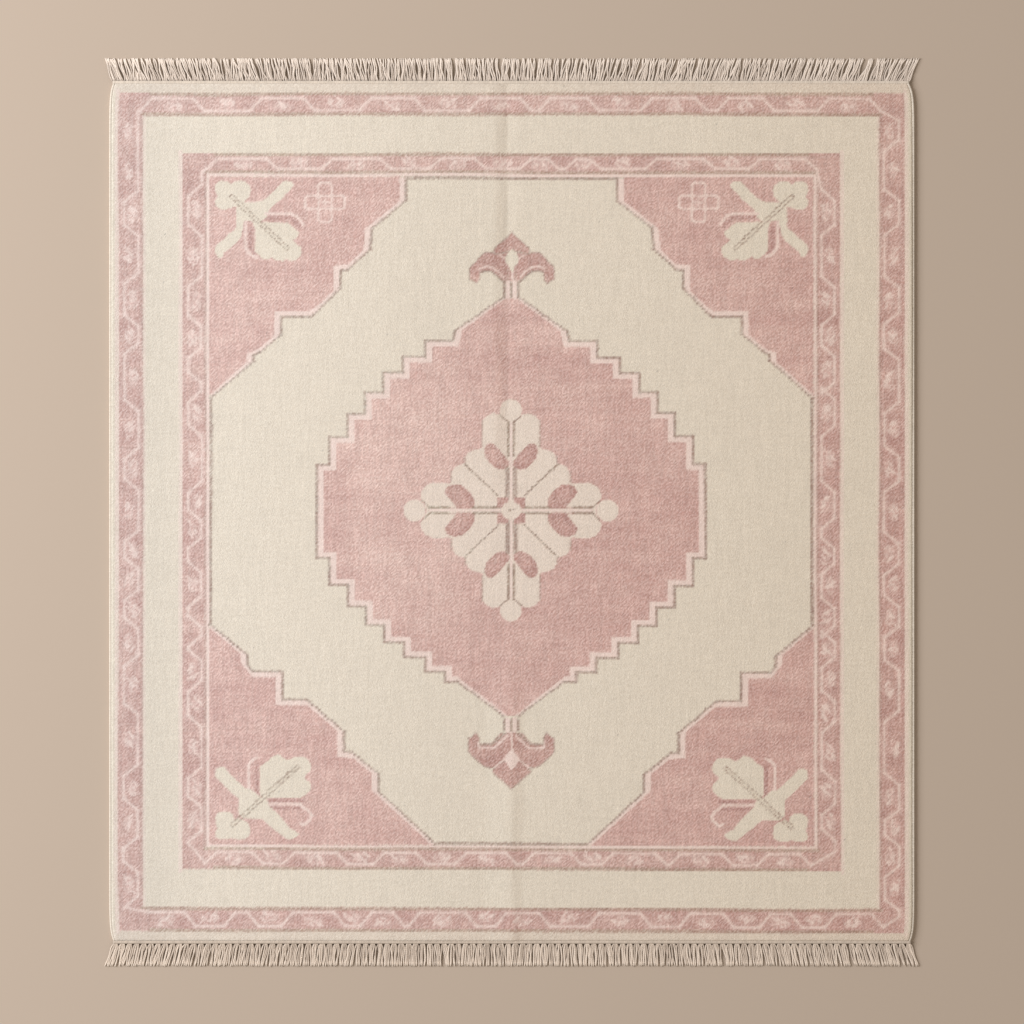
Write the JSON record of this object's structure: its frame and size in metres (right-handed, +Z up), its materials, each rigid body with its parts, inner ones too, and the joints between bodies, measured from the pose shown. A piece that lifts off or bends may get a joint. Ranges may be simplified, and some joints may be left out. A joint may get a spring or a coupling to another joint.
{
  "type": "hand-knotted rug",
  "caption": "Flat rectangular hand-knotted pile rug with overcast side cords, a knotted warp fringe at both ends, and a stepped lozenge medallion inside two borders.",
  "frame": {"origin": "on the floor, under the middle of the rug's outline, fringes included", "axes": "+Z up out of the pile, +Y along the rug's length towards the end that is at the top of the picture, +X to the picture's right"},
  "size_m": [1.6198, 1.8082, 0.0101],
  "materials": {
    "pile_wool": "matte wool pile in ivory and faded rose",
    "overcast_wool": "matte ivory wool yarn",
    "fringe_cotton": "matte twisted cotton"
  },
  "bodies": {
    "root": {"knotted_pile": "pile_wool", "side_cord_left": "overcast_wool", "side_cord_right": "overcast_wool", "fringe_back": "fringe_cotton", "fringe_front": "fringe_cotton"}
  },
  "joints": []
}
